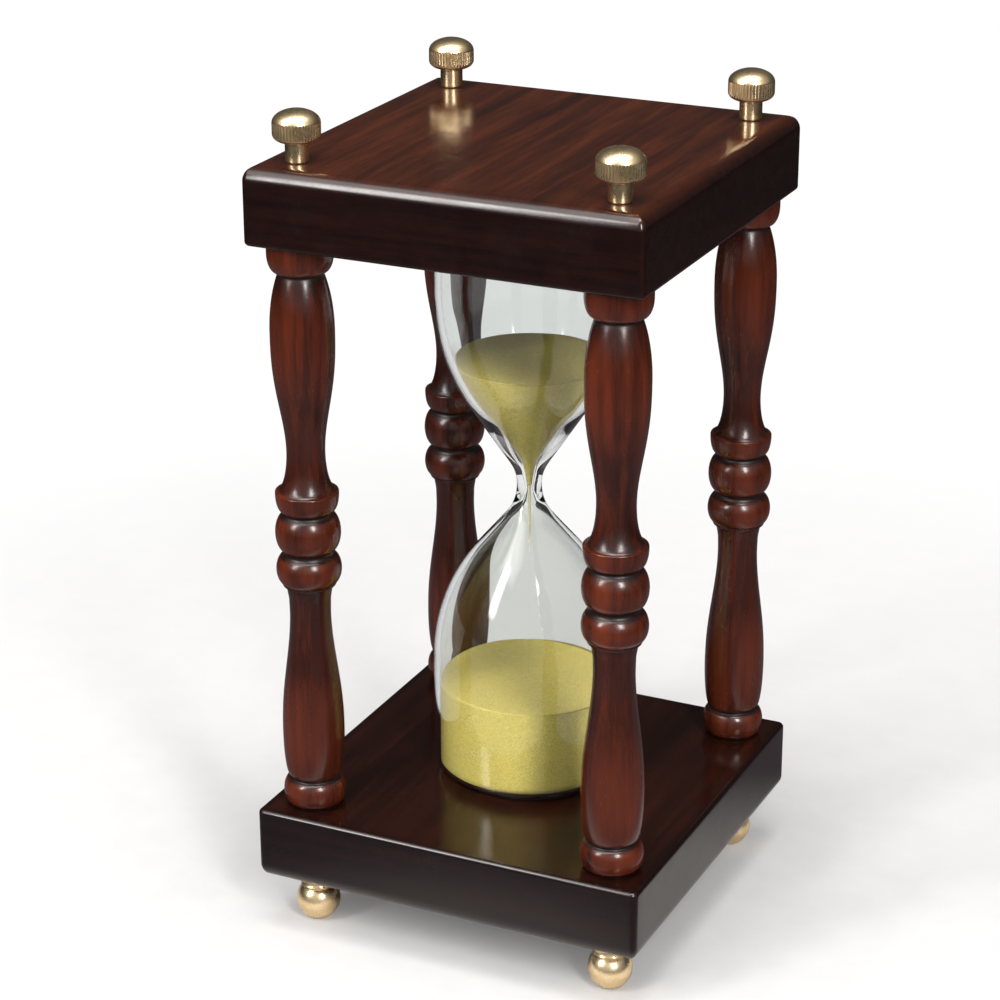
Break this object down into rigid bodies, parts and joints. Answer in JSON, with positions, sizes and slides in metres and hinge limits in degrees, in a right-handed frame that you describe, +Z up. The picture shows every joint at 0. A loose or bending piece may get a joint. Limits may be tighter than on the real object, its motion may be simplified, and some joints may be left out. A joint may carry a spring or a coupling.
{
  "type": "hourglass",
  "caption": "Sand timer with thick square wooden boards, turned columns, knurled brass thumb nuts, brass ball feet and a blown glass double bulb of yellow sand.",
  "frame": {"origin": "centre of the footprint, on the surface that the ball feet stand on", "axes": "+Z up along the glass, +X to the right of the front, -Y out of the front"},
  "size_m": [0.1408, 0.1408, 0.2886],
  "materials": {
    "board_wood": "dark mahogany stain under gloss varnish",
    "column_wood": "red-brown mahogany stain under gloss varnish",
    "rod_steel": "plain threaded rod",
    "brass": "polished, with a knurled band on the nuts",
    "clear_glass": "clear blown glass",
    "cork": "plain cork",
    "yellow_sand": "fine dry grains",
    "rubber": "thin black rubber sheet"
  },
  "bodies": {
    "frame": {"base_board": "board_wood", "top_board": "board_wood", "column_front_left": "column_wood", "column_front_right": "column_wood", "column_back_right": "column_wood", "column_back_left": "column_wood", "tie_rod_front_left": "rod_steel", "tie_rod_front_right": "rod_steel", "tie_rod_back_right": "rod_steel", "tie_rod_back_left": "rod_steel", "ball_foot_front_left": "brass", "ball_foot_front_right": "brass", "ball_foot_back_right": "brass", "ball_foot_back_left": "brass", "glass_vessel": "clear_glass", "filling_plug": "cork", "sand_upper": "yellow_sand", "sand_stream": "yellow_sand", "sand_lower": "yellow_sand", "lower_gasket": "rubber", "upper_gasket": "rubber"},
    "nut_front_left": {"thumb_nut_front_left": "brass"},
    "nut_front_right": {"thumb_nut_front_right": "brass"},
    "nut_back_right": {"thumb_nut_back_right": "brass"},
    "nut_back_left": {"thumb_nut_back_left": "brass"}
  },
  "joints": [
    {"name": "nut_spin_front_left", "type": "hinge", "parent": "frame", "child": "nut_front_left", "pos_m": [-0.0554, -0.0554, 0.2716], "axis": [0, 0, 1], "continuous": true},
    {"name": "nut_spin_front_right", "type": "hinge", "parent": "frame", "child": "nut_front_right", "pos_m": [0.0554, -0.0554, 0.2716], "axis": [0, 0, 1], "continuous": true},
    {"name": "nut_spin_back_right", "type": "hinge", "parent": "frame", "child": "nut_back_right", "pos_m": [0.0554, 0.0554, 0.2716], "axis": [0, 0, 1], "continuous": true},
    {"name": "nut_spin_back_left", "type": "hinge", "parent": "frame", "child": "nut_back_left", "pos_m": [-0.0554, 0.0554, 0.2716], "axis": [0, 0, 1], "continuous": true}
  ]
}
